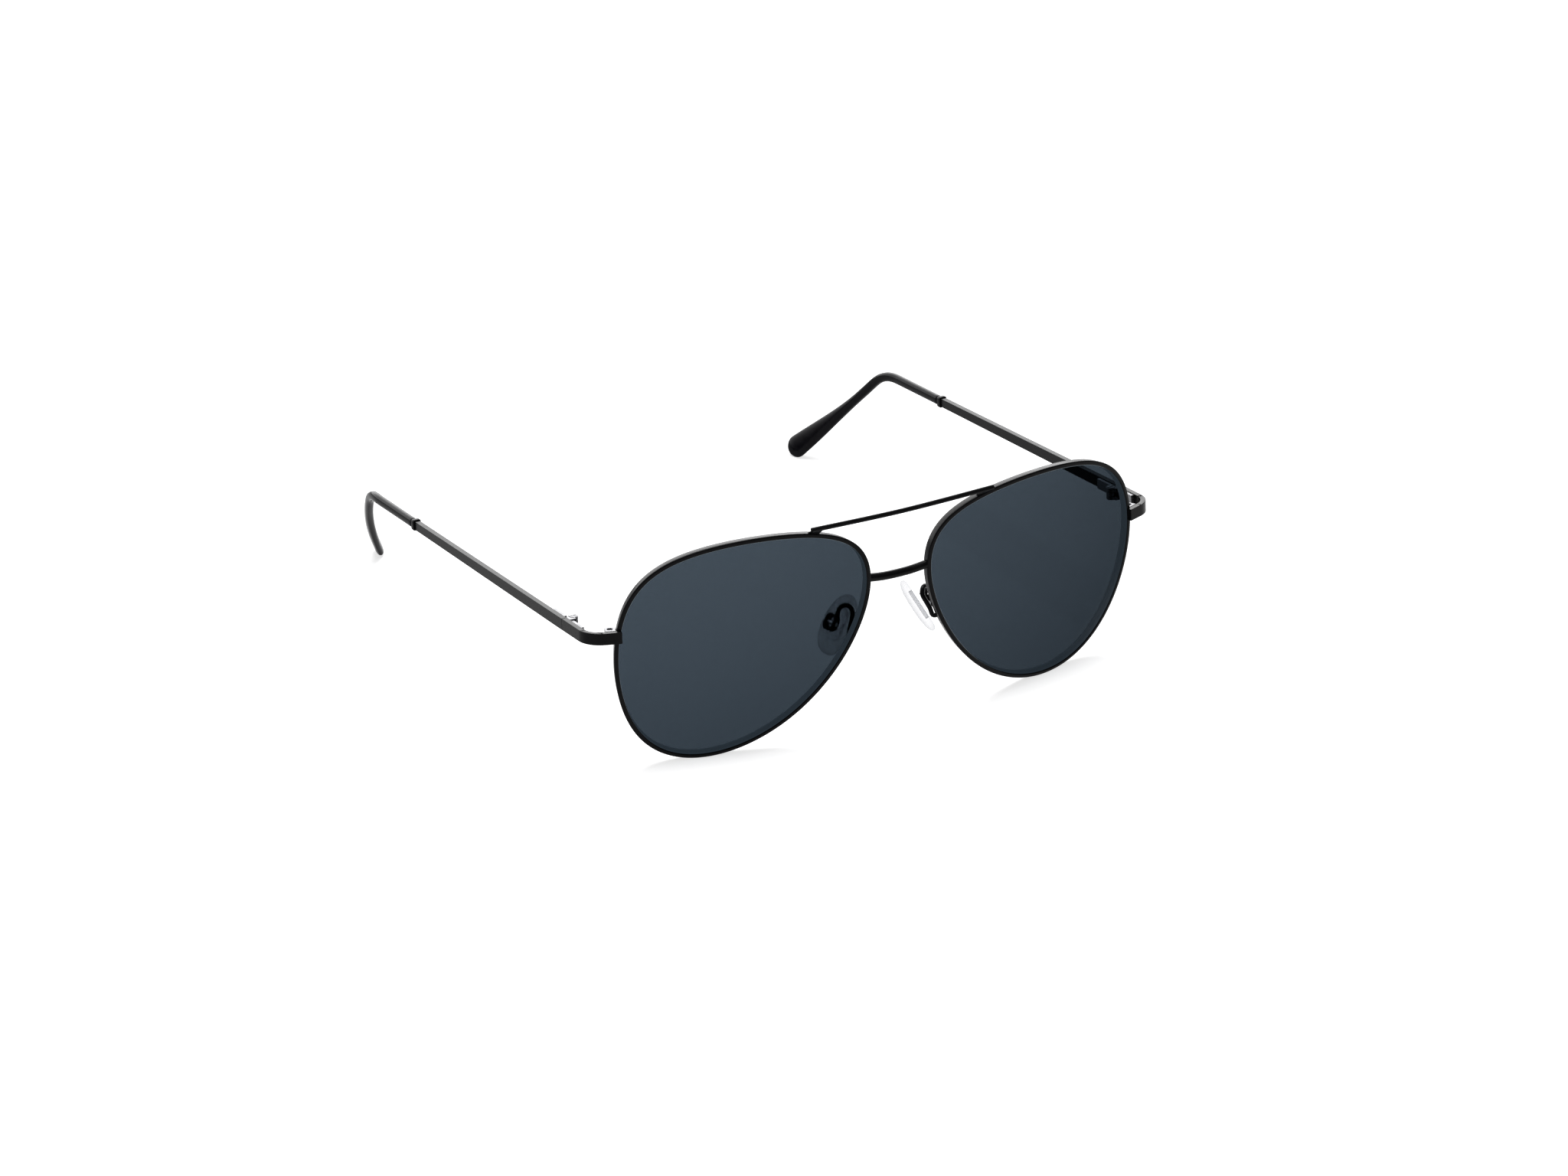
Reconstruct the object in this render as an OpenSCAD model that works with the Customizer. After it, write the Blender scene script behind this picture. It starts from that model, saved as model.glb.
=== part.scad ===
// Aviator sunglasses with a double bridge, as the bench pieces that make them up.
// Millimetres, +Z up, worn facing -Y. The open frame stands on its rims and temple tips at z = 0.
// "left" is the wearer's left, at +X. Every right-hand piece is the left one mirrored.

/* [Lens] */
// Width of one lens over its bevel
lens_w = 57.4; // [54:0.1:60]
// Narrowest gap between the two lenses
bridge_gap = 15.7; // [14:0.1:17.5]
// Thickness of a lens
lens_t = 1.6; // [1.4:0.1:1.8]
// Radius of the ball that the lens follows
base_radius = 133; // [110:1:180]

/* [Front] */
// Forward lean of the front
front_lean = 4.4; // [3:0.2:6]
// Backward turn of each lens at its temple side
face_form = 9.9; // [8:0.1:11]
// Width of the rim wire as seen from the front
rim_w = 1; // [0.95:0.05:1.3]
// Depth of the rim wire from front to back
rim_d = 2.0; // [1.9:0.1:2.4]
// Diameter of the upper bridge rod
brow_d = 1.1; // [0.9:0.05:1.4]
// Diameter of the lower bridge rod
bridge_d = 1.9; // [1.6:0.1:2.2]

/* [Temples] */
// Half of the frame's width, to the middle of the end piece bars
half_w = 70.7; // [70.5:0.1:71]
// Downward slope of the temples towards the ears
temple_drop = 4.3; // [3.6:0.05:4.8]
// Inward slope of the temples towards the ears
temple_toe = 2.15; // [1.5:0.05:2.8]
// Height of the end piece and temple bars at the hinge
bar_h = 2.65; // [2.4:0.05:2.9]
// Height of the temple bar in front of its collar
temple_end_h = 1.95; // [1.7:0.05:2.2]
// Thickness of the end piece and temple bars
bar_t = 1.2; // [1.1:0.05:1.4]
// Length of the temple bar from the hinge to the tip
temple_len = 71.6; // [66:0.2:80]
// Downward angle of the tip behind the ear
ear_drop = 45.8; // [42:0.1:48]
// Inward angle at the very end of the tip
ear_curl = 28; // [20:0.5:34]

/* [Nose pads] */
// Length of a nose pad
pad_len = 14; // [12:0.2:15.4]
// Width of a nose pad
pad_w = 8.6; // [7.6:0.2:9.2]
// Thickness of a nose pad
pad_t = 2.2; // [2:0.1:2.8]

/* [Hidden] */

$fn = 48;
black = "#1c1c1e";
steel = "#8d8f92";
tint = "#3c464f";
clear = "#e8e8e8";
glossy_black = "#232227";

origin_back = 65.06;     // from the front's pivot back to the middle of the open frame's depth
braze = 0.06;            // bite of one piece into another at a brazed joint
gap = 0.05;              // clearance between pieces that only touch
steps = 96;              // stretches round a rim or a lens
lens_seat = 0.42;        // bite of the lens bevel into the rim's groove
rim_in = -lens_seat - gap;
rim_out = rim_in + rim_w;
rim_round = 0.3;         // radius of the wire's long edges
groove = 0.5;            // half-width of the rim's V groove

// ---- Small helpers ----

function unit(v) = v / norm(v);
function smooth(a, b, s) = let (k = min(1, max(0, (s - a) / (b - a)))) k * k * (3 - 2 * k);

// A skin over rings of points, each ring counter-clockwise about the way they advance.
module loft(rings) {
    k = len(rings[0]);
    last = len(rings) - 1;
    middles = [for (r = [rings[0], rings[last]]) [for (a = [0:2]) sum([for (p = r) p[a]]) / k]];
    points = concat([for (r = rings) each r], middles);
    tail = k * (last + 1);
    polyhedron(points, concat(walls(last, k, 0), [for (j = [0:k - 1]) let (m = (j + 1) % k)
        each [[tail, j, m], [tail + 1, last * k + m, last * k + j]]]));
}

// A closed-ended sleeve: an outer skin, and a pocket that opens at the first ring.
module sleeve(outer, pocket) {
    k = len(outer[0]);
    a = len(outer) - 1;
    b = len(pocket) - 1;
    inner = k * (a + 1);
    tail = inner + k * (b + 1);
    ends = [for (r = [outer[a], pocket[b]]) [for (c = [0:2]) sum([for (p = r) p[c]]) / k]];
    polyhedron(concat([for (r = outer) each r], [for (r = pocket) each r], ends), concat(
        walls(a, k, 0),
        [for (f = walls(b, k, inner)) [f[2], f[1], f[0]]],
        [for (j = [0:k - 1]) let (m = (j + 1) % k) each [
            [j, m, inner + j], [m, inner + m, inner + j],
            [tail, a * k + m, a * k + j],
            [tail + 1, inner + b * k + j, inner + b * k + m]]]));
}

function walls(spans, k, at) = [for (i = [0:spans - 1], j = [0:k - 1])
    let (m = (j + 1) % k, p = at + i * k, q = p + k) each [[p + j, q + j, q + m], [p + j, q + m, p + m]]];

function sum(v) = v * [for (x = v) 1];

// An oval section of half-sizes a and b across axes p and q, squarer as power falls below 1.
function oval_ring(c, p, q, a, b, k = 16, power = 1) = [for (i = [0:k - 1]) let (t = 360 * i / k)
    c + a * bulge(cos(t), power) * p + b * bulge(sin(t), power) * q];
function bulge(x, power) = sign(x) * pow(abs(x), power);

// A round rod along a path, with the given half-sizes across and up.
function rod_rings(path, a, b, k = 16) = [for (i = [0:len(path) - 1])
    let (
        t = unit(path[min(i + 1, len(path) - 1)] - path[max(i - 1, 0)]),
        across = unit(cross([0, 0, 1], t)),
        up = cross(t, across)
    ) oval_ring(path[i], across, up, a, b, k)];

// A smooth curve through points, taken at even steps between each two.
function curve(p, cuts = 6) = [for (i = [0:len(p) - 2], s = [0:cuts - (i == len(p) - 2 ? 0 : 1)])
    let (
        a = p[max(i - 1, 0)], b = p[i], c = p[i + 1], d = p[min(i + 2, len(p) - 1)], t = s / cuts
    ) b + 0.5 * t * (c - a + t * (2 * a - 5 * b + 4 * c - d + t * (3 * (b - c) + d - a)))];

// ---- Lens outline and surface ----

// The teardrop is a circle with an oval stretch, an egg point and a slight squareness turned into it.
lens_r = 0.479 * lens_w;
oval = 0.1;
oval_turn = -60;
egg = 0.07;
egg_turn = 114;
corner = 0.018;
corner_turn = 184;

function outline(t) = lens_r * [
    cos(t) + oval * cos(oval_turn - t) + egg * cos(egg_turn - 2 * t) + corner * cos(corner_turn - 3 * t),
    sin(t) + oval * sin(oval_turn - t) + egg * sin(egg_turn - 2 * t) + corner * sin(corner_turn - 3 * t)];
function out_normal(t) = let (d = unit(outline(t + 1) - outline(t - 1))) [d.y, -d.x];

// The lens's middle surface, and its normal towards the eye.
function on_ball(q) = [q.x, base_radius - sqrt(base_radius * base_radius - q * q), q.y];
function ball_back(q) = unit([-q.x, sqrt(base_radius * base_radius - q * q), -q.y]);

// A point beside the lens edge: out is away from the lens, back is towards the eye.
function edge_point(t, out, back) = let (q = outline(t) + out * out_normal(t))
    on_ball(q) + back * ball_back(q);

// The rim is cut open at the temple side, where the rim lock joins it.
split_t = 10.9;
split_gap = 0.45;
turns = [for (i = [0:steps]) split_t + split_gap + i * (360 - 2 * split_gap) / steps];

lens_x = bridge_gap / 2 - min([for (t = turns) outline(t).x]);
// The lens centres stand at the height that puts the lowest points of the rims at z = 0.
lens_z = -min([for (t = turns, back = [-1, 1])
    leaned(from_lens(edge_point(t, rim_out, back * (rim_d / 2 - rim_round)))).z]);

// Frame of the front: the lens plane, leaning forward about the lens centre line.
module front_frame() translate([0, -origin_back, lens_z]) rotate([front_lean, 0, 0]) children();
// Frame of the left lens in the front.
module lens_frame() translate([lens_x, 0, 0]) rotate([0, 0, face_form]) children();
function leaned(p) = [
    p.x, p.y * cos(front_lean) - p.z * sin(front_lean), p.y * sin(front_lean) + p.z * cos(front_lean)];
function from_lens(p) = [
    lens_x + p.x * cos(face_form) - p.y * sin(face_form),
    p.x * sin(face_form) + p.y * cos(face_form), p.z];

// The left piece as it is, and the right piece as its mirror image.
module sides(part) {
    children();
    mirror([1, 0, 0]) children();
}

// ---- Rims and lenses ----

rim_section = concat(
    [for (c = [[rim_out, -1, -90], [rim_out, 1, 0]], a = [0:30:90])
        [c[0] - rim_round, c[1] * (rim_d / 2 - rim_round)] + rim_round * [cos(c[2] + a), sin(c[2] + a)]],
    [for (a = [90:30:180]) [rim_in + rim_round, rim_d / 2 - rim_round] + rim_round * [cos(a), sin(a)]],
    [[rim_in, groove], [0, 0], [rim_in, -groove]],
    [for (a = [180:30:270]) [rim_in + rim_round, rim_round - rim_d / 2] + rim_round * [cos(a), sin(a)]]);

module rim() color(black) front_frame() lens_frame()
    loft([for (t = turns) [for (s = rim_section) edge_point(t, s[0], s[1])]]);

lens_edge = -lens_seat - 2 * gap;
lens_shells = [0.2, 0.4, 0.6, 0.8, 1];

function lens_ring(f, back) = [for (t = turns) let (q = f * (outline(t) + lens_edge * out_normal(t)))
    on_ball(q) + back * ball_back(q)];

module lens() color(tint) front_frame() lens_frame() loft(concat(
    [for (f = lens_shells) lens_ring(f, lens_t / 2)],
    [[for (t = turns) edge_point(t, lens_edge, groove - gap)]],
    [[for (t = turns) edge_point(t, -gap, 0)]],
    [[for (t = turns) edge_point(t, lens_edge, gap - groove)]],
    [for (i = [len(lens_shells) - 1:-1:0]) lens_ring(lens_shells[i], -lens_t / 2)]));

// ---- Bridges ----

bridge_t = 167.3;        // where the lower bridge meets the rim
bridge_sag = 0.54;       // how far its middle hangs down

module bridge() {
    foot = from_lens(edge_point(bridge_t, rim_out - braze, 0));
    path = curve([[-foot.x, foot.y, foot.z],
        [-foot.x / 2, foot.y, foot.z - 0.8 * bridge_sag], [0, foot.y, foot.z - bridge_sag],
        [foot.x / 2, foot.y, foot.z - 0.8 * bridge_sag], foot], 5);
    color(black) front_frame() loft(rod_rings(path, bridge_d / 2, bridge_d / 2));
}

brow_t = 116;            // where the posts of the upper bridge stand on the rims
brow_rise = 2.65;        // from the rim wire's middle up to the rod's middle
brow_fore = 2.4;         // from the rim wire's middle forward to the rod's middle
brow_sag = 0.5;          // how far the rod's middle hangs below its ends
brow_over = 1.6;         // how far the rod runs past the middle of a post
post_w = 2.3;            // length of a post along the rim
post_d = 0.9;            // thickness of a post from front to back

brow_seat = from_lens(edge_point(brow_t, (rim_in + rim_out) / 2, 0));
brow_end = brow_seat + [brow_over, -brow_fore, brow_rise];

module brow_bar() {
    middle = [0, brow_end.y, brow_end.z - brow_sag];
    path = curve([[-brow_end.x, brow_end.y, brow_end.z], middle, brow_end], 10);
    color(black) front_frame() loft(rod_rings(path, brow_d / 2, brow_d / 2, 14));
}

// A small block from the rim's top to the rod. Its foot bites into the rim, its head into the rod.
module brow_post() {
    corners = [[-1, -1], [1, -1], [1, 1], [-1, 1]];
    half_turn = post_w / 2 / lens_r * 180 / PI;
    foot = [for (c = corners) from_lens(edge_point(
        brow_t - c.x * half_turn, rim_out - 2 * braze, -0.3 + c.y * post_d / 2))];
    head = [for (c = corners) brow_end + [
        c.x * post_w / 2 - brow_over, c.y * post_d / 2 + 0.1, -brow_d / 2 + 3 * braze]];
    color(black) front_frame() loft([foot, head]);
}

// ---- End pieces and rim locks ----

// Frame of the side parts: the plane that the end piece, hinge and temple lie in.
corner_y = 8.75;
corner_z = 33.05;
module side_frame() translate([0, corner_y - origin_back, corner_z]) rotate([-temple_drop, 0, 0]) children();

lug_angle = 22;          // the end piece leaves the rim at this angle to the X axis
lug_back = -0.45;        // where its line meets the temple's line, along the temple
lug_len = 7.25;          // from its end over the rim's front to that meeting point
lug_bend = 5;            // radius of the bend, at the bar's middle
joint_y = 11.3;          // where the bar ends and the temple begins
lug_turn = 90 + temple_toe - lug_angle;
bend_run = lug_bend * tan(lug_turn / 2);

// Frame of the stretch between the rim and the bend: x runs out from the rim, y towards the back.
module lug_frame() side_frame() translate([half_w, lug_back, 0]) rotate(lug_angle)
    translate([-lug_len, 0, 0]) children();
// Frame of the hinge: y runs along the temple from the joint, x points away from the head.
module hinge_frame() side_frame() translate([half_w, lug_back, 0]) rotate(temple_toe)
    translate([0, joint_y, 0]) children();

// The bar lies on the front of the rim, so the lug's back face is at y = bar_t / 2 in its frame.
rim_side = 1.2;          // from the lug's end to the rim's outer face
relief = 0.12;           // gap in front of the lower rim end, which opens to let the lens in

// The bar's middle line goes round the bend, then straight on to the joint.
bend_stops = [for (i = [0:16]) i * lug_turn / 16];
joint_run = (joint_y - bend_run - gap / 2) * [cos(lug_turn), sin(lug_turn)];
function bend_at(a, side) = [lug_len - bend_run, lug_bend]
    + (lug_bend + side * bar_t / 2) * [sin(a), -cos(a)];

module end_piece() color(black) lug_frame() difference() {
    translate([0, 0, -bar_h / 2]) linear_extrude(bar_h) polygon(concat(
        [[0, -bar_t / 2]], [for (a = bend_stops) bend_at(a, 1)], [bend_at(lug_turn, 1) + joint_run],
        [bend_at(lug_turn, -1) + joint_run], [for (i = [16:-1:0]) bend_at(bend_stops[i], -1)],
        [[0, bar_t / 2]]));
    translate([-1, bar_t / 2 - relief, -bar_h]) cube([1 + rim_side + relief, 1, bar_h]);
}

lock_w = 2.3;            // size of the rim lock block, out from the rim
lock_d = 2.3;            // and towards the back
lock_top = 1.4;          // it stands a little higher than the bar
lock_low = -1.25;
lock_slit = 0.12;        // half of the slit between its halves
lock_screw_r = 0.6;
lock_head_r = 0.72;
lock_head_h = 0.5;
lock_axis = [rim_side + lock_w / 2, bar_t / 2 + lock_d / 2];

module lock_half(low, high, bore_r, side_gap) lug_frame() difference() {
    translate([rim_side - braze, bar_t / 2 + side_gap, low]) cube([lock_w, lock_d, high - low]);
    translate([lock_axis.x, lock_axis.y, low - 1]) cylinder(r = bore_r, h = high - low + 2);
}
module rim_lock_upper() color(steel) lock_half(lock_slit, lock_top, lock_screw_r, -braze);
module rim_lock_lower() color(steel) lock_half(lock_low, -lock_slit, lock_screw_r + gap, gap);

// Threaded into the upper half from below. Its thread bites 0.03 mm into the upper half.
module rim_lock_screw() color(steel) lug_frame() translate(lock_axis) {
    difference() {
        translate([0, 0, lock_low - lock_head_h]) cylinder(r = lock_head_r, h = lock_head_h);
        driver_slot(lock_low - lock_head_h, lock_head_r);
    }
    translate([0, 0, lock_low]) cylinder(r = lock_screw_r, h = lock_top - 0.25 - lock_low);
    translate([0, 0, lock_slit]) cylinder(r = lock_screw_r + 0.03, h = lock_top - 0.3 - lock_slit);
}

// A screwdriver slot across a head, centred on the height of the head's outer face.
module driver_slot(face_z, head_r) translate([-head_r - 1, -0.15, face_z - 0.2])
    cube([2 * head_r + 2, 0.3, 0.4]);

// ---- Hinges ----

pin_off = 1.5;                // from the bars' inner face to the pin
axis_x = -bar_t / 2 - pin_off;
knuckle_r = 1.15;
hinge_h = 2.8;                // over all three knuckles
leaf_h = 2.3;                 // a little lower than the bars
pin_r = 0.58;
pin_bore_r = 0.62;
knuckle_gap = 0.03;           // above and below the middle knuckle
leaf_t = 0.8;
leaf_len = 5.2;
middle_half = hinge_h / 6;    // half-height of the middle knuckle
head_sink = 0.35;
head_r = 0.86;

// One stretch of knuckle with the web that ties it to its leaf, towards +y or -y.
module knuckle(low, high, towards) {
    translate([axis_x, 0, low]) cylinder(r = knuckle_r, h = high - low);
    translate([axis_x, towards > 0 ? 0 : -1.7, low]) cube([pin_off + braze, 1.7, high - low]);
}
module leaf(towards) translate([-bar_t / 2 - leaf_t, towards > 0 ? 1.45 : -1.45 - leaf_len, -leaf_h / 2])
    cube([leaf_t + braze, leaf_len, leaf_h]);
module pin_bore() translate([axis_x, 0, -hinge_h]) cylinder(r = pin_bore_r, h = 2 * hinge_h);

module front_hinge() color(steel) hinge_frame() difference() {
    union() {
        leaf(-1);
        for (low = [-hinge_h / 2, middle_half + knuckle_gap])
            knuckle(low, low + hinge_h / 2 - middle_half - knuckle_gap, -1);
    }
    pin_bore();
    translate([axis_x, 0, hinge_h / 2 - head_sink]) cylinder(r = head_r + gap, h = 1);
}

module temple_hinge() color(steel) hinge_frame() difference() {
    union() {
        leaf(1);
        knuckle(knuckle_gap - middle_half, middle_half - knuckle_gap, 1);
    }
    pin_bore();
}

// The pin is a screw from above. Its thread bites 0.03 mm into the lowest knuckle.
module hinge_screw() color(steel) hinge_frame() translate([axis_x, 0, 0]) {
    difference() {
        translate([0, 0, hinge_h / 2 - head_sink + gap]) cylinder(r = head_r, h = head_sink);
        driver_slot(hinge_h / 2 + gap, head_r);
    }
    translate([0, 0, -hinge_h / 2]) cylinder(r = pin_r, h = hinge_h - head_sink + 2 * gap);
    translate([0, 0, -hinge_h / 2 + 0.1]) cylinder(r = pin_bore_r + 0.03, h = 0.7);
}

// ---- Temples ----

core_r = 0.5;            // radius of the wire core inside the tip
core_len = 34;           // how far the core runs into the tip
tip_step = 1.25;
tip_len = 56.25;         // along the tip's middle line
tip_start = 0.45;        // its front end, behind the middle of the collar
ear_at = 17.4;           // where the tip starts to turn down, from its front end
ear_run = 10;            // length of that turn

// Slope of the tip's middle line, down and inwards, at s along it.
function tip_fall(s) = ear_drop * smooth(ear_at, ear_at + ear_run, s);
function tip_curl(s) = ear_curl * pow(max(0, (s - ear_at) / (tip_len - ear_at)), 0.5);
function tip_way(s) = [
    -sin(tip_curl(s)), cos(tip_curl(s)) * cos(tip_fall(s)), -cos(tip_curl(s)) * sin(tip_fall(s))];
tip_line = [for (i = 0, p = [0, temple_len + tip_start, 0]; i * tip_step <= tip_len + 1e-6;
    p = p + tip_step * tip_way((i + 0.5) * tip_step), i = i + 1) p];
function tip_at(s) = let (i = min(len(tip_line) - 2, floor(s / tip_step)), k = s / tip_step - i)
    tip_line[i] * (1 - k) + tip_line[i + 1] * k;
function tip_up(s) = [0, sin(tip_fall(s)), cos(tip_fall(s))];
function tip_ring(s, a, b, k = 16, power = 1) = let (up = tip_up(s), inward = cross(up, tip_way(s)))
    oval_ring(tip_at(s), inward, up, a, b, k, power);

tang_t = 0.9;            // the bar is stepped down where the collar and the tip go over it
tang_h = 1.3;
tang_at = temple_len - 1;
tang_len = 1.95;

// The bar is its side outline pushed through its thickness.
module bar(thickness, from, to, start_h, end_h) translate([thickness / 2, 0, 0]) rotate([0, -90, 0])
    linear_extrude(thickness) polygon([
        [-start_h / 2, from], [start_h / 2, from], [end_h / 2, to], [-end_h / 2, to]]);

module temple() color(black) hinge_frame() {
    bar(bar_t, gap / 2, tang_at, bar_h, temple_end_h);
    bar(tang_t, tang_at - 0.1, tang_at + tang_len, tang_h, tang_h);
    // The wire core that the tip is pushed over.
    loft([for (s = [0.2:1.2:core_len]) tip_ring(s, core_r, core_r, k = 10)]);
}

// A stamped ring in front of the tip.
module temple_collar() color(black) hinge_frame() translate([0, temple_len - 0.9, 0]) rotate([-90, 0, 0])
    linear_extrude(1.1) difference() {
        rounded_square(2, 2.5, 0.5);
        square([tang_t + 2 * gap, tang_h + 2 * gap], center = true);
    }

module rounded_square(w, h, r) union() {
    square([w - 2 * r, h], center = true);
    square([w, h - 2 * r], center = true);
    for (x = [-1, 1], y = [-1, 1]) translate([x * (w / 2 - r), y * (h / 2 - r)]) circle(r);
}

// Half-height and half-thickness of the tip along its line: slim, then a paddle with a round end.
end_r = 2.6;
function tip_round(s) = let (e = (s - (tip_len - end_r)) / end_r) e <= 0 ? 1 : sqrt(max(0.0004, 1 - e * e));
function tip_b(s) = (1.05 + 1.7 * smooth(32, 58, s)) * tip_round(s);
function tip_a(s) = (0.9 + 0.08 * smooth(3, 45, s)) * sqrt(tip_round(s));
tip_stops = concat([for (s = [0:2.4:tip_len - end_r - 0.5]) s],
    [for (a = [0:15:90]) tip_len - end_r + end_r * sin(a)]);
mouth = [tang_t / 2 + 0.12, tang_h / 2 + 0.12];   // half-size of the pocket round the tang

module temple_tip() color(glossy_black) hinge_frame() sleeve(
    [for (s = tip_stops) tip_ring(s, tip_a(s), tip_b(s), power = 0.8)],
    concat([for (s = [0, 0.7]) tip_ring(s, mouth.x, mouth.y, power = 0.3)],
        [for (s = [1.2:1.2:core_len + 1]) tip_ring(s, core_r + gap, core_r + gap)]));

// ---- Nose pads ----

// The pad faces the nose: inwards, back and down. Its long side runs down and outwards.
pad_face = unit([-0.834, 0.179, -0.52]);
pad_side = unit(cross(pad_face, [0.502, -0.147, -0.852]));
pad_down = cross(pad_side, pad_face);
pad_middle = [9.75, 5.4, -4.75];
box_in = 1.7;            // from the pad's back to the pad screw
box_h = 1.5;
box_l = 3.8;
box_w = 3.3;
box_wall = 0.8;
pad_screw_r = 0.42;
lug = [1.7, 1.2, 0.75];  // the core's lug: its length, width and half-height about the screw

// Frame of the pad: x down the pad, y across it, z towards the nose, from the middle of the pad's back.
module pad_frame() front_frame() multmatrix([for (a = [0:2])
    [pad_down[a], pad_side[a], pad_face[a], pad_middle[a] - pad_t / 2 * pad_face[a]]]) children();
function from_pad(p) = pad_middle + p.x * pad_down + p.y * pad_side + (p.z - pad_t / 2) * pad_face;

arm_t = 197.5;           // where the arm is brazed to the back of the rim
arm_r = 0.53;

// The arm leaves the rim backwards, climbs, loops over and comes down to the box.
module pad_arm() {
    foot = from_lens(edge_point(arm_t, (rim_in + rim_out) / 2 + 0.1, rim_d / 2 - braze));
    entry = from_pad([0.3 - box_l / 2, 0.9, -box_in]);
    path = curve([foot, [10.6, -0.15, -4.35], [10.1, 0.35, -2.85], [9.4, 1, -1.3], [8.85, 1.75, 0.1],
        [9.3, 2.55, 1.2], [10.3, 3.25, 1.25], [11, 3.85, 0.1], entry], 4);
    color(black) front_frame() loft(rod_rings(path, arm_r, arm_r, 12));
}

// An open oval ring that the pad's lug sits in.
module pad_box() color(black) pad_frame() difference() {
    translate([0, 0, -box_in - box_h / 2]) linear_extrude(box_h) difference() {
        rounded_square(box_l, box_w, 1.3);
        rounded_square(box_l - 2 * box_wall, box_w - 2 * box_wall, 0.5);
    }
    pad_cross(pad_screw_r + 0.03, box_w + 2);
}
// A round bar across the pad, through the box and the lug.
module pad_cross(r, length) translate([0, -length / 2, -box_in]) rotate([-90, 0, 0])
    cylinder(r = r, h = length);

module pad_screw() color(steel) pad_frame() {
    pad_cross(pad_screw_r, box_w);
    difference() {
        translate([0, -box_w / 2 - 0.4, -box_in]) rotate([-90, 0, 0]) cylinder(r = 0.68, h = 0.4);
        translate([-1, -box_w / 2 - 0.5, -box_in - 0.12]) cube([2, 0.3, 0.24]);
    }
}

core_l = 7.6;
core_w = 3.6;
core_t = 0.8;
module pad_plate(l, w) hull() for (x = [-1, 1]) translate([x * (l - w) / 2, 0]) circle(d = w, $fn = 32);
module pad_core() color(clear) pad_frame() difference() {
    union() {
        linear_extrude(core_t) pad_plate(core_l, core_w);
        translate([-lug.x / 2, -lug.y / 2, -box_in - lug.z]) cube([lug.x, lug.y, box_in + lug.z]);
    }
    pad_cross(pad_screw_r + 0.05, 4);
}

// Silicone over the core: a flat back with a recess for the core, a rolled edge and a crowned face.
pad_shells = [
    [0.88, 0], [0.96, 0.3], [1, 0.85], [0.985, 1.3], [0.93, 1.8], [0.8, 2.25], [0.58, 2.55], [0.3, 2.68]];
module nose_pad() color(clear) pad_frame() difference() {
    loft([for (s = pad_shells) [for (t = [0:11.25:350]) [
        s[0] * pad_len / 2 * cos(t),
        s[0] * pad_w / 2 * (1 + 0.1 * cos(t)) * bulge(sin(t), 0.9),
        s[1] * pad_t / 2.7]]]);
    translate([0, 0, -1]) linear_extrude(1 + core_t + gap) pad_plate(core_l + 2 * gap, core_w + 2 * gap);
}

// ---- Nodes ----

bridge();
brow_bar();
sides("rim") rim();
sides("lens") lens();
sides("brow_post") brow_post();
sides("end_piece") end_piece();
sides("rim_lock_upper") rim_lock_upper();
sides("rim_lock_lower") rim_lock_lower();
sides("rim_lock_screw") rim_lock_screw();
sides("pad_arm") pad_arm();
sides("pad_box") pad_box();
sides("pad_screw") pad_screw();
sides("pad_core") pad_core();
sides("nose_pad") nose_pad();
sides("front_hinge") front_hinge();
sides("hinge_screw") hinge_screw();
sides("temple_hinge") temple_hinge();
sides("temple") temple();
sides("temple_collar") temple_collar();
sides("temple_tip") temple_tip();
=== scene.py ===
"""Looks for the aviator sunglasses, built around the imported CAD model.

Fine meshes stand for the rims, lenses, tips and pads. The other CAD pieces keep their shapes and get rounded
edges and a material of their own. A white floor, soft light and the camera complete the scene.
"""
import math

import bpy
import numpy as np
from mathutils import Matrix, Vector


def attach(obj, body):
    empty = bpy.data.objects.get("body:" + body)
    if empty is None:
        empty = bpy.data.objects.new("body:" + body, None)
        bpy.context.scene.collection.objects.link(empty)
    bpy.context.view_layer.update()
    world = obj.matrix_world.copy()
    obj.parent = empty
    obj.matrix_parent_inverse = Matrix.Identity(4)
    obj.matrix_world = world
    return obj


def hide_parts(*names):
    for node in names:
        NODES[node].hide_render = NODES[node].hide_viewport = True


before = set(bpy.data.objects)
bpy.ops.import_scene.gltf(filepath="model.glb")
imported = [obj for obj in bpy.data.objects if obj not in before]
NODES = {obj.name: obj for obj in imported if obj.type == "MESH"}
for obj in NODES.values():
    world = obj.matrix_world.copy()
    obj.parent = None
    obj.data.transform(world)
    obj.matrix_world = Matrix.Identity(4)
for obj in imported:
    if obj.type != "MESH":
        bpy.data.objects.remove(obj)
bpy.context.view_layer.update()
SIDES = {"left": 1.0, "right": -1.0}
MM = 0.001

# ------------------------------------------------ sizes in millimetres and degrees, as in the CAD part

GAP = 0.05                # clearance between pieces that only touch
LENS_W = 57.4             # width of a lens over its bevel
LENS_R = 0.479 * LENS_W   # radius of the circle that its outline starts from
BRIDGE_GAP = 15.7         # narrowest gap between the lenses
LENS_T = 1.6
BALL_R = 133.0            # radius of the ball that a lens follows
LENS_SEAT = 0.42          # bite of the lens bevel into the rim's groove
LEAN = 4.4                # forward lean of the front
FORM = 9.9                # backward turn of each lens at its temple side

RIM_W = 1.0               # rim wire, as seen from the front
RIM_D = 2.0               # rim wire, from front to back
RIM_ROUND = 0.3           # radius of the wire's long edges
RIM_IN = -LENS_SEAT - GAP
RIM_OUT = RIM_IN + RIM_W
GROOVE = 0.5              # half-width of the rim's V groove
SPLIT_T = 10.9            # where the rim is cut, as an angle round the lens
SPLIT_GAP = 0.45          # half of the cut, as an angle

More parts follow.
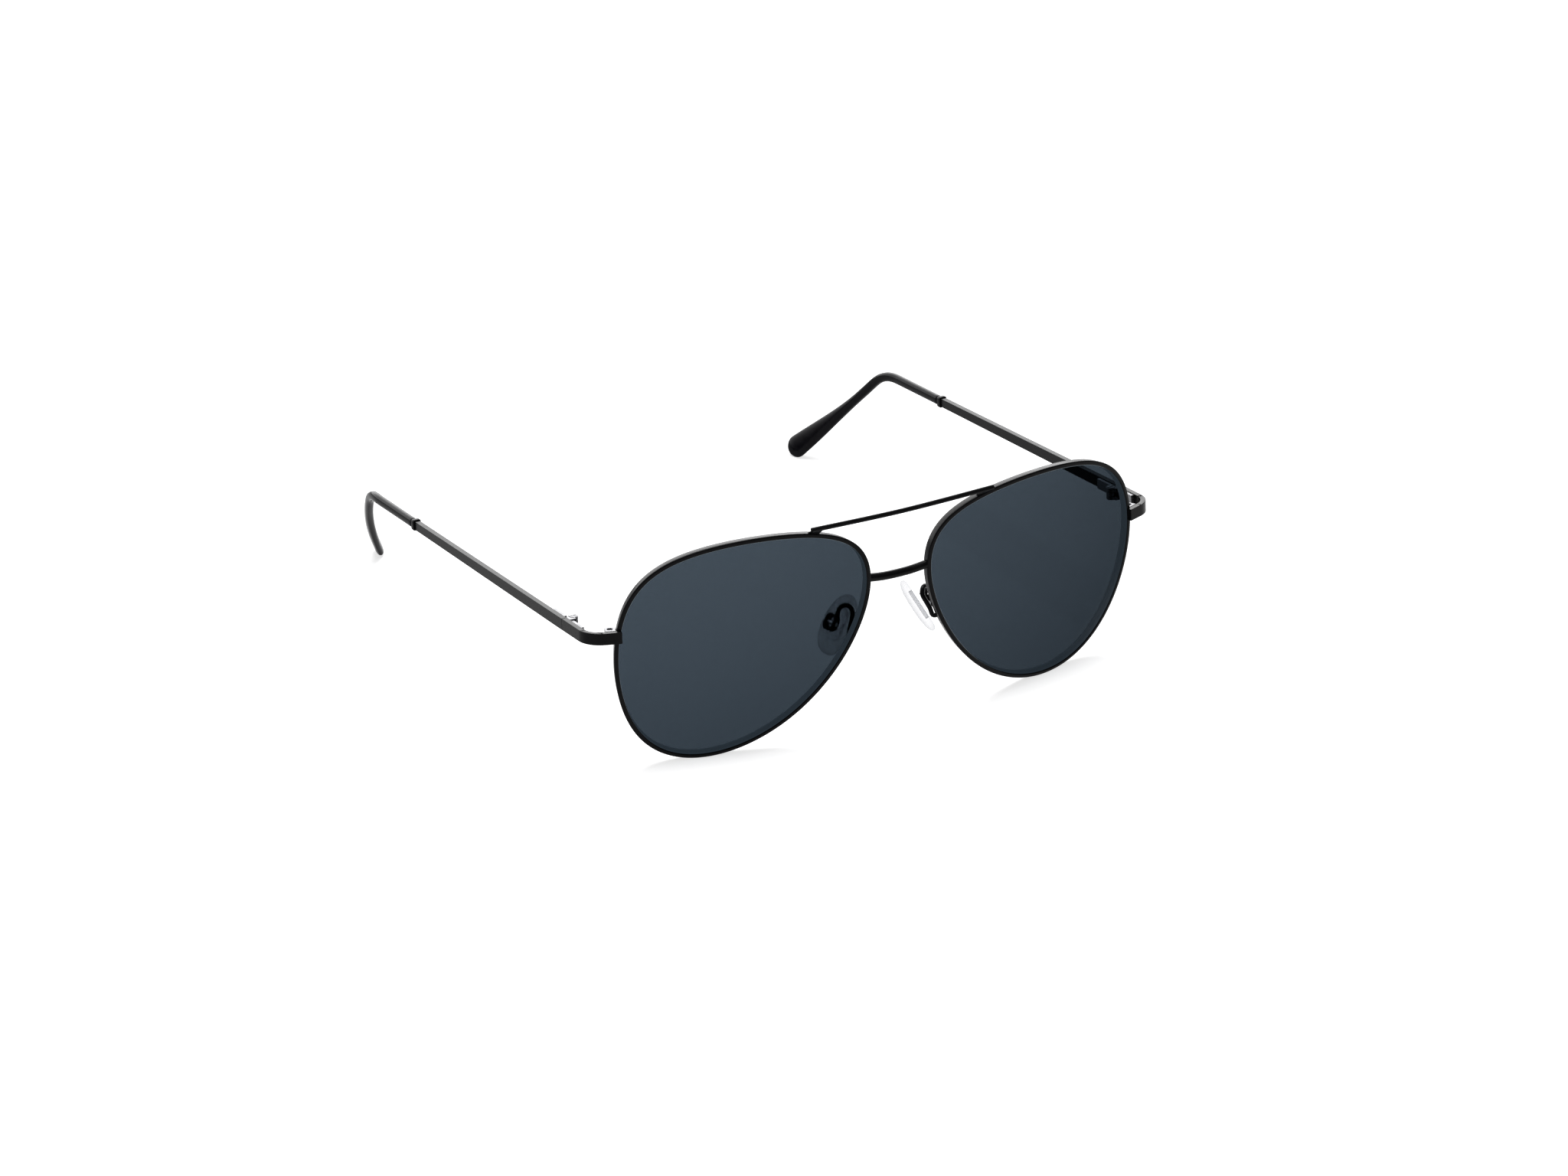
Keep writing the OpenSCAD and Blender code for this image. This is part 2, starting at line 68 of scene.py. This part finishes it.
ORIGIN_BACK = 65.06       # from the front's pivot back to the middle of the open pair
HALF_W = 70.7             # to the middle of the end piece bars
CORNER = np.array([0.0, 8.75 - ORIGIN_BACK, 33.05])    # the temples slope down from here
LUG_BACK = -0.45          # where the end piece's line meets the temple's line
JOINT_Y = 11.3            # where the end piece ends and the temple begins
DROP = 4.3                # downward slope of a temple
TOE = 2.15                # inward slope of a temple

TIP_START = 71.6 + 0.45   # front end of a tip, from the hinge
TIP_LEN = 56.25
TIP_STEP = 1.25
TIP_ROUND = 2.6           # length of the tip's rounded end
TIP_SQUARE = 0.8          # power that squares its oval off
TIP_HIGH = 1.05           # half-height at its front
TIP_THICK = 0.9           # half-thickness at its front
PADDLE_HIGH = 1.7         # what the paddle adds to the half-height
PADDLE_FROM, PADDLE_TO = 32, 58
MOUTH, MOUTH_RUN = 0.93, 0.7    # the mouth's size as a share, and the length of its rounded edge
EAR_AT = 17.4             # where a tip starts to turn down
EAR_RUN = 10.0            # length of that turn
EAR_DROP = 45.8
EAR_CURL = 28.0           # inward angle at the very end

PAD_L, PAD_W, PAD_T = 14.0, 8.6, 2.2
PAD_MIDDLE = np.array([9.75, 5.4, -4.75])
PAD_FACE = (-0.834, 0.179, -0.52)      # the way that a pad's face looks
PAD_LONG = (0.502, -0.147, -0.852)     # near the way that its long side runs
PAD_BELLY = 0.85          # height above the back at which a pad is widest
PAD_BACK = 0.88           # width of its back, as a share
PAD_EGG = 0.1             # how much wider its lower end is, as a share
PAD_SQUARE = 0.9          # power that squares its oval off
CORE_R = 1.8              # half-width of the pad core
CORE_RUN = 2.0            # from the core's middle to the middle of its round ends

# ------------------------------------------------ vectors


def unit(v):
    v = np.asarray(v, float)
    return v / np.linalg.norm(v, axis=-1, keepdims=True)


def turn(axis, degrees):
    """Rotation matrix about X or Z."""
    c, s = math.cos(math.radians(degrees)), math.sin(math.radians(degrees))
    if axis == "X":
        return np.array([[1, 0, 0], [0, c, -s], [0, s, c]])
    return np.array([[c, -s, 0], [s, c, 0], [0, 0, 1]])


def smooth(a, b, s):
    """0 before a, 1 after b, and an even ease between them."""
    k = np.clip((s - a) / (b - a), 0, 1)
    return k * k * (3 - 2 * k)


def bulge(x, power):
    """x to a power, with its sign kept: below 1 it squares a circle off."""
    return np.sign(x) * np.abs(x) ** power


def arc(centre, radius, start):
    """Points of a quarter turn from the angle start."""
    a = np.radians(np.linspace(start, start + 90, 7))
    return np.stack([centre[0] + radius * np.cos(a), centre[1] + radius * np.sin(a)], -1)


# ------------------------------------------------ lens outline, and places on the front and on a temple


def outline(t):
    """Points of the teardrop outline, and their outward normals, at angles t."""
    def at(angle):
        """A circle, and the waves that make it oval, egg-shaped and cornered: size, start and order."""
        a = np.radians(angle)
        waves = ((1, 0, 1), (0.1, -60, -1), (0.07, 114, -2), (0.018, 184, -3))
        z = sum(size * np.exp(1j * (np.radians(start) + order * a)) for size, start, order in waves)
        return LENS_R * np.stack([z.real, z.imag], -1)
    d = unit(at(t + 1) - at(t - 1))
    return at(t), np.stack([d[..., 1], -d[..., 0]], -1)


def on_ball(q, back):
    """Points of the lens's middle surface at q, moved towards the eye by back."""
    depth = np.sqrt(BALL_R**2 - (q**2).sum(-1))
    points = np.stack([q[..., 0], BALL_R - depth, q[..., 1]], -1)
    return points + np.asarray(back)[..., None] * unit(np.stack([-q[..., 0], depth, -q[..., 1]], -1))


ROUND_LENS = np.linspace(0, 360, 1441)
LENS_X = BRIDGE_GAP / 2 - outline(ROUND_LENS)[0][:, 0].min()


def lens_to_front(p):
    return p @ turn("Z", FORM).T + [LENS_X, 0, 0]


def edge_line(t, out, back):
    """Points at angles t round the lens's edge, moved out from it and towards the eye."""
    q, n = outline(t)
    out, back = (np.broadcast_to(v, t.shape) for v in (out, back))
    return lens_to_front(on_ball(q + out[..., None] * n, back))


LOWEST = min((edge_line(ROUND_LENS, RIM_OUT, back) @ turn("X", LEAN).T)[:, 2].min()
             for back in (RIM_ROUND - RIM_D / 2, RIM_D / 2 - RIM_ROUND))


def front(p):
    """Places on the front, in the shared frame: leaned forward, and standing on the rims."""
    return p @ turn("X", LEAN).T + [0, -ORIGIN_BACK, -LOWEST]


def hinge(p):
    """Places on the left temple, counted from its hinge, in the shared frame."""
    p = np.asarray(p, float) + [0, JOINT_Y, 0]
    return (p @ turn("Z", TOE).T + [HALF_W, LUG_BACK, 0]) @ turn("X", -DROP).T + CORNER


# ------------------------------------------------ meshes


def skin(name, rings, side):
    """A closed mesh over rings of points, in millimetres, mirrored for the right side."""
    rings = np.asarray(rings, float)
    n, k = rings.shape[:2]
    points = np.concatenate([rings.reshape(-1, 3), rings[:1].mean(1), rings[-1:].mean(1)]) * MM
    points[:, 0] *= side
    faces = []
    for i in range(n - 1):
        for j in range(k):
            m = (j + 1) % k
            faces.append((i * k + j, i * k + m, (i + 1) * k + m, (i + 1) * k + j))
    first, last = n * k, n * k + 1
    faces += [(first, (j + 1) % k, j) for j in range(k)]
    faces += [(last, (n - 1) * k + j, (n - 1) * k + (j + 1) % k) for j in range(k)]
    if side < 0:
        faces = [f[::-1] for f in faces]
    mesh = bpy.data.meshes.new(name)
    mesh.from_pydata([tuple(p) for p in points], [], faces)
    mesh.polygons.foreach_set("use_smooth", [True] * len(mesh.polygons))
    mesh.update()
    obj = bpy.data.objects.new(name, mesh)
    bpy.context.scene.collection.objects.link(obj)
    return obj


def split_edges(obj, degrees):
    """Keeps edges sharper than this crisp under smooth shading."""
    m = obj.modifiers.new("Crisp edges", "EDGE_SPLIT")
    m.split_angle = math.radians(degrees)


def make_rim(side_name, side):
    """One wire round the lens, cut open at the end piece, with a groove inside."""
    inner, outer, level = RIM_IN + RIM_ROUND, RIM_OUT - RIM_ROUND, RIM_D / 2 - RIM_ROUND
    section = np.concatenate([
        arc((outer, -level), RIM_ROUND, -90),
        arc((outer, level), RIM_ROUND, 0),
        arc((inner, level), RIM_ROUND, 90),
        [[RIM_IN, GROOVE], [0, 0], [RIM_IN, -GROOVE]],
        arc((inner, -level), RIM_ROUND, 180)])
    turns = np.linspace(SPLIT_T + SPLIT_GAP, SPLIT_T + 360 - SPLIT_GAP, 361)
    rings = [front(edge_line(np.full(len(section), t), section[:, 0], section[:, 1])) for t in turns]
    rim = skin("rim_fine_" + side_name, rings, side)
    split_edges(rim, 35)
    return rim


def make_lens(side_name, side):
    """A curved sheet with a ground bevel. The faces of the bevel take the second material."""
    turns = np.linspace(SPLIT_T, SPLIT_T + 360, 240, endpoint=False)
    edge = -LENS_SEAT - 2 * GAP
    q, n = outline(turns)
    shares = np.sin(np.radians(np.linspace(3, 90, 34)))

    def face(share, back):
        return lens_to_front(on_ball(share * (q + edge * n), np.full(len(turns), back)))

    bevel = ((edge, GROOVE - GAP), (-GAP, 0), (edge, GAP - GROOVE))
    rings = [face(share, LENS_T / 2) for share in shares]
    rings += [edge_line(turns, out, back) for out, back in bevel]
    rings += [face(share, -LENS_T / 2) for share in shares[::-1]]
    lens = skin("lens_fine_" + side_name, [front(r) for r in rings], side)
    bevel_start = (len(shares) - 1) * len(turns)
    for i in range(bevel_start, bevel_start + (len(bevel) + 1) * len(turns)):
        lens.data.polygons[i].material_index = 1
    split_edges(lens, 35)
    return lens


def tip_angles(s):
    """Downward and inward angles of a tip, in radians, at s along it."""
    fall = EAR_DROP * smooth(EAR_AT, EAR_AT + EAR_RUN, s)
    curl = EAR_CURL * max(0.0, (s - EAR_AT) / (TIP_LEN - EAR_AT)) ** 0.5
    return math.radians(fall), math.radians(curl)


def tip_way(s):
    fall, curl = tip_angles(s)
    return np.array([-math.sin(curl), math.cos(curl) * math.cos(fall), -math.cos(curl) * math.sin(fall)])


def make_tip(side_name, side):
    """A sleeve that follows the ear, slim at first and widening to a paddle with a round end."""
    line = [np.array([0, TIP_START, 0])]
    while len(line) * TIP_STEP <= TIP_LEN + 1e-6:
        line.append(line[-1] + TIP_STEP * tip_way((len(line) - 0.5) * TIP_STEP))
    round_at = TIP_LEN - TIP_ROUND
    round_stops = round_at + TIP_ROUND * np.sin(np.radians(np.arange(0, 90, 6)))
    angles = np.radians(np.linspace(0, 360, 28, endpoint=False))
    rings = []
    for s in np.concatenate([np.arange(0, round_at, 0.7), round_stops]):
        i = min(len(line) - 2, int(s / TIP_STEP))
        k = s / TIP_STEP - i
        centre = line[i] * (1 - k) + line[i + 1] * k
        fall = tip_angles(s)[0]
        up = np.array([0, math.sin(fall), math.cos(fall)])
        inward = np.cross(up, tip_way(s))
        past = max(0.0, (s - round_at) / TIP_ROUND)
        end = math.sqrt(max(0.0004, 1 - past * past))
        mouth = MOUTH + (1 - MOUTH) * min(1.0, s / MOUTH_RUN)
        high = (TIP_HIGH + PADDLE_HIGH * smooth(PADDLE_FROM, PADDLE_TO, s)) * end * mouth
        thick = (TIP_THICK + 0.08 * smooth(3, 45, s)) * math.sqrt(end) * mouth
        rings.append(hinge(centre + thick * bulge(np.cos(angles), TIP_SQUARE)[:, None] * inward
                           + high * bulge(np.sin(angles), TIP_SQUARE)[:, None] * up))
    return skin("tip_fine_" + side_name, rings, side)


def make_pad(side_name, side):
    """A soft pad: a recess for the core in its back, a rolled edge and a crowned face."""
    face = unit(PAD_FACE)
    across = unit(np.cross(face, PAD_LONG))
    down = np.cross(across, face)
    t = np.radians(np.linspace(0, 360, 72, endpoint=False))

    def recess(grow, z):
        r = CORE_R + grow
        x = r * np.cos(t) + np.sign(np.cos(t)) * CORE_RUN
        return np.stack([x, r * np.sin(t), np.full(len(t), z)], -1)

    def oval(scale, z):
        x = scale * PAD_L / 2 * np.cos(t)
        y = scale * PAD_W / 2 * (1 + PAD_EGG * np.cos(t)) * bulge(np.sin(t), PAD_SQUARE)
        return np.stack([x, y, np.full(len(t), z)], -1)

    def ease(k):
        """The height of a quarter circle at k."""
        return math.sqrt(max(0.0, 1 - k * k))

    rings = [recess(grow, PAD_BELLY) for grow in (-1.0, 0.02)]
    rings += [recess(GAP, PAD_BELLY - GAP), recess(GAP, GAP), recess(2 * GAP, 0.0)]
    rings += [oval(scale, 0.0) for scale in (0.7, PAD_BACK - 0.02)]
    rings += [oval(PAD_BACK + (1 - PAD_BACK) * ease(1 - k), PAD_BELLY * k) for k in np.linspace(0.1, 1, 8)]
    crown = PAD_T - 0.02 - PAD_BELLY
    rings += [oval(max(0.02, ease(k) ** 0.75), PAD_BELLY + crown * k)
              for k in np.sin(np.radians(np.linspace(4, 89, 20)))]
    rings = np.array(rings)
    local = rings[..., 0:1] * down + rings[..., 1:2] * across + rings[..., 2:3] * face
    pad = skin("pad_fine_" + side_name, front(local + PAD_MIDDLE - PAD_T / 2 * face), side)
    split_edges(pad, 60)
    return pad


# ------------------------------------------------ materials

MIX_A, MIX_B, MIX_RESULT = 6, 7, 2    # a Mix node's colour sockets


class Graph:
    """A few shortcuts for building the nodes of a material or of the world."""

    def __init__(self, owner, output="ShaderNodeOutputMaterial"):
        self.owner = owner
        owner.use_nodes = True
        self.tree = owner.node_tree
        self.tree.nodes.clear()
        self.output = self.add(output)
        self.place = self.add("ShaderNodeTexCoord").outputs

    def put(self, socket, value):
        if isinstance(value, bpy.types.NodeSocket):
            self.tree.links.new(value, socket)
        else:
            socket.default_value = value

    def add(self, kind, **values):
        """A node with its settings and inputs. An input is named with _ for a space."""
        node = self.tree.nodes.new(kind)
        for key, value in values.items():
            if hasattr(node, key):
                setattr(node, key, value)
            else:
                self.put(node.inputs[key.replace("_", " ")], value)
        return node

    def out(self, kind, **values):
        """The first output of a new node."""
        return self.add(kind, **values).outputs[0]

    def joined(self, kind, *inputs, **settings):
        """The first output of a new node whose inputs are given in their order."""
        node = self.add(kind, **settings)
        for socket, value in zip(node.inputs, inputs):
            self.put(socket, value)
        return node.outputs[0]

    def noise(self, scale, detail, stretch=(1, 1, 1)):
        place = self.out("ShaderNodeMapping", Scale=stretch, Vector=self.place["Object"])
        return self.out("ShaderNodeTexNoise", Scale=scale, Detail=detail, Vector=place)

    def ramp(self, value, low, high, at_low, at_high, kind="LINEAR"):
        """value from low to high turned into at_low to at_high, and level beyond them."""
        return self.joined("ShaderNodeMapRange", value, low, high, at_low, at_high, interpolation_type=kind)

    def spread(self, noise, at_low, at_high):
        """Noise, which keeps mostly to 0.3 to 0.7, spread over at_low to at_high."""
        return self.ramp(noise, 0.3, 0.7, at_low, at_high)

    def calc(self, operation, a, b):
        return self.joined("ShaderNodeMath", a, b, operation=operation)

    def blend(self, share, a, b):
        return self.joined("ShaderNodeMixShader", share, a, b)

    def both(self, a, b):
        return self.joined("ShaderNodeAddShader", a, b)

    def mix_colour(self, share, a, b):
        node = self.add("ShaderNodeMix", data_type="RGBA")
        self.put(node.inputs[0], share)
        self.put(node.inputs[MIX_A], a)
        self.put(node.inputs[MIX_B], b)
        return node.outputs[MIX_RESULT]

    def facing(self):
        """0 where a surface faces the view, 1 where it is seen edge-on."""
        return self.add("ShaderNodeLayerWeight", Blend=0.5).outputs["Facing"]

    def bump(self, height, strength, distance):
        return self.out("ShaderNodeBump", Height=height, Strength=strength, Distance=distance)

    def done(self, shader):
        self.put(self.output.inputs["Surface"], shader)
        return self.owner


def material_graph(name):
    return Graph(bpy.data.materials.new(name))


def satin_black():
    g = material_graph("satin_black_coat")
    grain, cloud = g.noise(9000, 3), g.noise(420, 5)
    colour = g.mix_colour(g.spread(cloud, 0, 1), (0.002, 0.002, 0.0023, 1), (0.0042, 0.0042, 0.0046, 1))
    return g.done(g.out(
        "ShaderNodeBsdfPrincipled", Base_Color=colour, Roughness=g.spread(cloud, 0.2, 0.28), IOR=1.13,
        Normal=g.bump(grain, 0.12, 0.00001)))


def gloss_black():
    g = material_graph("polished_black_tip")
    ripple, cloud = g.noise(160, 2), g.noise(900, 4)
    colour = g.mix_colour(g.spread(cloud, 0, 1), (0.0022, 0.0021, 0.0028, 1), (0.0045, 0.0043, 0.0055, 1))
    return g.done(g.out(
        "ShaderNodeBsdfPrincipled", Base_Color=colour, Roughness=g.spread(cloud, 0.1, 0.18), IOR=1.12,
        Normal=g.bump(ripple, 0.1, 0.0002)))


def brushed(name, light, dark, rough, stretch):
    """Bare metal with fine lines. stretch is small along the lines."""
    g = material_graph(name)
    lines, cloud = g.noise(2600, 5, stretch), g.noise(700, 4)
    return g.done(g.out(
        "ShaderNodeBsdfPrincipled", Base_Color=g.mix_colour(g.spread(lines, 0, 1), dark, light), Metallic=1.0,
        Roughness=g.spread(cloud, rough - 0.06, rough + 0.08), Normal=g.bump(lines, 0.22, 0.00002)))


def sun_lens():
    """A grey-blue tint, deeper where the lens is seen at a slant; painted shade darkens it towards the
    bottom.
    """
    g = material_graph("grey_blue_sun_lens")
    low, high, pale = (0.163, 0.191, 0.217, 1), (0.182, 0.21, 0.236, 1), (0.2, 0.226, 0.25, 1)
    place = g.add("ShaderNodeSeparateXYZ", Vector=g.place["Object"]).outputs
    # Painted shade: the tint runs from the darker low colour at the bottom of the lens to high at its top.
    height = g.ramp(place["Z"], 0.0, 0.052, 0.0, 1.0)
    tint = g.mix_colour(g.spread(g.noise(45, 2), 0.0, 0.05), g.mix_colour(height, low, high), pale)
    facing = g.facing()
    deeper = g.add("ShaderNodeVectorMath", operation="SCALE", Scale=g.ramp(facing, 0.1, 0.6, 1.04, 0.77))
    g.put(deeper.inputs[0], tint)
    through = g.out("ShaderNodeBsdfTransparent", Color=deeper.outputs[0])
    shine = g.out("ShaderNodeBsdfGlossy", Roughness=0.02, Color=(0.92, 0.96, 1.0, 1))
    return g.done(g.blend(g.ramp(facing, 0.5, 1.0, 0.0, 0.4, "SMOOTHSTEP"), through, shine))


def ground_edge_painted_glow():
    """The frosted bevel round a lens: a painted glow stands in for the light that it scatters from the lens.
    """
    g = material_graph("ground_lens_edge_painted_glow")
    frost = g.spread(g.noise(5200, 4), 0, 1)
    colour = g.mix_colour(frost, (0.11, 0.13, 0.15, 1), (0.15, 0.175, 0.195, 1))
    # Painted glow: a weak emission stands in for the light that the frosted bevel scatters.
    glow = g.out("ShaderNodeEmission", Color=(0.8, 0.95, 1.06, 1), Strength=0.14)
    return g.done(g.both(g.out("ShaderNodeBsdfDiffuse", Color=colour), glow))


def clear_plastic(name, clear, painted_edge_shade, milk, milk_colour):
    """A clear solid drawn by its surfaces: see-through, slightly milky, with painted shade that greys it
    where seen edge-on.
    """
    g = material_graph(name)
    # Painted shade: the see-through colour turns greyer where the surface is seen edge-on.
    edge = g.calc("POWER", g.facing(), 2.2)
    through = g.out("ShaderNodeBsdfTransparent", Color=g.mix_colour(edge, clear, painted_edge_shade))
    speck, cloud = g.noise(2400, 4), g.noise(260, 3)
    soft = g.out(
        "ShaderNodeBsdfPrincipled", Base_Color=milk_colour, Roughness=g.spread(cloud, 0.22, 0.34), IOR=1.3,
        Normal=g.bump(speck, 0.08, 0.00003))
    share = g.calc("ADD", g.calc("MULTIPLY", edge, 0.08), g.spread(cloud, 0.6 * milk, milk))
    return g.done(g.blend(share, through, soft))


SATIN = satin_black()
GLOSS = gloss_black()
HINGE_STEEL = brushed("hinge_steel", (0.13, 0.13, 0.135, 1), (0.075, 0.075, 0.08, 1), 0.36, (1, 0.06, 1))
LOCK_STEEL = brushed("lock_steel", (0.11, 0.11, 0.115, 1), (0.06, 0.06, 0.065, 1), 0.36, (0.08, 1, 1))
SCREW_STEEL = brushed("screw_steel", (0.16, 0.16, 0.165, 1), (0.08, 0.08, 0.085, 1), 0.3, (1, 1, 0.1))
PAD_STEEL = brushed("pad_screw_steel", (0.75, 0.75, 0.76, 1), (0.5, 0.5, 0.51, 1), 0.6, (1, 1, 0.1))
LENS = sun_lens()
LENS_EDGE_PAINTED_GLOW = ground_edge_painted_glow()
# For each: the clear colour, the grey of the painted shade at its edges, the milky share and the milky
# colour.
SILICONE = clear_plastic(
    "clear_silicone", (0.81, 0.81, 0.815, 1), (0.66, 0.665, 0.675, 1), 0.02, (0.88, 0.88, 0.885, 1))
HARD_CLEAR = clear_plastic(
    "clear_core", (0.97, 0.975, 0.98, 1), (0.82, 0.825, 0.835, 1), 0.015, (0.86, 0.87, 0.88, 1))

# ------------------------------------------------ pieces


def dress(obj, *materials):
    """Gives a piece these materials and no others. The faces of a new mesh keep the numbers they have."""
    if obj.data.materials:
        obj.data.materials.clear()
    for material in materials:
        obj.data.materials.append(material)


def soften(obj, width):
    """Smooth shading on a CAD node, with its hard edges rounded by width, or kept crisp where it is 0."""
    obj.data.polygons.foreach_set("use_smooth", [True] * len(obj.data.polygons))
    weld = obj.modifiers.new("Join seams", "WELD")
    weld.merge_threshold = 2e-6
    if not width:
        split_edges(obj, 40)
        return
    bevel = obj.modifiers.new("Rounded edges", "BEVEL")
    bevel.width = width * MM
    bevel.segments = 3
    bevel.limit_method = "ANGLE"
    bevel.angle_limit = math.radians(38)
    bevel.use_clamp_overlap = True
    obj.modifiers.new("Even shading", "WEIGHTED_NORMAL").keep_sharp = True


CAD_LOOKS = {    # the CAD pieces of each side that stay: material, and rounding of the edges
    "end_piece": (SATIN, 0.2),
    "temple": (SATIN, 0.2),
    "temple_collar": (SATIN, 0.14),
    "brow_post": (SATIN, 0.15),
    "pad_arm": (SATIN, 0),
    "pad_box": (SATIN, 0.1),
    "front_hinge": (HINGE_STEEL, 0.08),
    "temple_hinge": (HINGE_STEEL, 0.08),
    "hinge_screw": (SCREW_STEEL, 0.05),
    "rim_lock_upper": (LOCK_STEEL, 0.12),
    "rim_lock_lower": (LOCK_STEEL, 0.12),
    "rim_lock_screw": (SCREW_STEEL, 0.05),
    "pad_screw": (PAD_STEEL, 0.05),
    "pad_core": (HARD_CLEAR, 0.08),
}

for node in ("bridge", "brow_bar"):
    soften(NODES[node], 0)
    dress(NODES[node], SATIN)

for side_name, side in SIDES.items():
    for part, (material, width) in CAD_LOOKS.items():
        obj = NODES[part + "_" + side_name]
        soften(obj, width)
        dress(obj, material)
    made = (
        (make_rim, "rim", "front", "frame_black", (SATIN,)),
        (make_lens, "lens", "front", "lens_tint", (LENS, LENS_EDGE_PAINTED_GLOW)),
        (make_tip, "temple_tip", "temple_arm_" + side_name, "tip_acetate", (GLOSS,)),
        (make_pad, "nose_pad", "pad_" + side_name, "pad_silicone", (SILICONE,)),
    )
    for make, part, body, slot_name, materials in made:
        piece = make(side_name, side)
        dress(piece, *materials)
        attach(piece, body)
        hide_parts(part + "_" + side_name)

# ------------------------------------------------ floor, light and camera


def white_floor():
    """White paper under strong, even light: it glows a little past white, so only close shadows show."""
    g = material_graph("white_floor")
    cloud = g.spread(g.noise(3, 3), 0, 1)
    colour = g.mix_colour(cloud, (0.555, 0.555, 0.56, 1), (0.57, 0.57, 0.57, 1))
    glow = g.out("ShaderNodeEmission", Strength=0.7)
    return g.done(g.both(g.out("ShaderNodeBsdfDiffuse", Color=colour), glow))


def white_studio():
    """Surroundings that are brighter overhead, with a low glow at the back that reflections see most of."""
    g = Graph(bpy.data.worlds.new("white_studio"), "ShaderNodeOutputWorld")
    way = g.add("ShaderNodeSeparateXYZ", Vector=g.place["Generated"]).outputs
    behind = g.ramp(way["Y"], 0.15, 0.75, 0, 1, "SMOOTHSTEP")
    above_floor = g.ramp(way["Z"], 0.0, 0.12, 0, 1, "SMOOTHSTEP")
    below_roof = g.ramp(way["Z"], 0.6, 0.85, 1, 0, "SMOOTHSTEP")
    glow = g.calc("MULTIPLY", behind, g.calc("MULTIPLY", above_floor, below_roof))
    reflected = g.add("ShaderNodeLightPath").outputs["Is Glossy Ray"]
    glow = g.calc("MULTIPLY", glow, g.ramp(reflected, 0, 1, 0.1, 6.5))
    strength = g.calc("ADD", glow, g.ramp(way["Z"], 0.3, 1.0, 0.04, 0.5, "SMOOTHSTEP"))
    return g.done(g.out("ShaderNodeBackground", Color=(1, 1, 1, 1), Strength=strength))


def softbox(name, place, target, size, power):
    """A square light at place that faces target, in metres and watts."""
    light = bpy.data.lights.new(name, "AREA")
    light.shape = "RECTANGLE"
    light.size = size
    light.size_y = size
    light.energy = power
    obj = bpy.data.objects.new(name, light)
    bpy.context.scene.collection.objects.link(obj)
    obj.location = place
    obj.rotation_mode = "QUATERNION"
    obj.rotation_quaternion = (Vector(target) - Vector(place)).to_track_quat("-Z", "Y")


def place_camera(target, azimuth, elevation, roll, distance, focal_length):
    """The scene's camera, which looks at target from azimuth and elevation and is turned by roll."""
    data = bpy.data.cameras.new("photo_view")
    data.sensor_width = 36
    data.lens = focal_length
    data.clip_start = 0.05
    data.clip_end = 60
    camera = bpy.data.objects.new("photo_view", data)
    bpy.context.scene.collection.objects.link(camera)
    bpy.context.scene.camera = camera
    azimuth, elevation, roll = (math.radians(angle) for angle in (azimuth, elevation, roll))
    level = np.array([math.cos(azimuth), math.sin(azimuth), 0])
    back = np.array([math.sin(azimuth), -math.cos(azimuth), 0]) * math.cos(elevation)
    back[2] = math.sin(elevation)
    upright = np.cross(back, level)
    right = level * math.cos(roll) + upright * math.sin(roll)
    up = upright * math.cos(roll) - level * math.sin(roll)
    eye = np.array(target) + back * distance
    camera.matrix_world = Matrix([[right[i], up[i], back[i], eye[i]] for i in range(3)] + [[0, 0, 0, 1]])


bpy.ops.mesh.primitive_plane_add(size=30, location=(0, 0, -0.00002))
floor = bpy.context.object
floor.name = "floor"
dress(floor, white_floor())

scene = bpy.context.scene
scene.world = white_studio()
softbox("overhead", place=(0, 0.1, 1.4), target=(0, 0, 0), size=0.8, power=26)
place_camera(
    target=(-0.00396, -0.02604, 0.0177), azimuth=-30.672, elevation=24.871, roll=0.457,
    distance=2.4382, focal_length=255.2)
scene.view_settings.view_transform = "Standard"
scene.view_settings.look = "None"
scene.view_settings.exposure = 0.0
scene.view_settings.gamma = 1.0
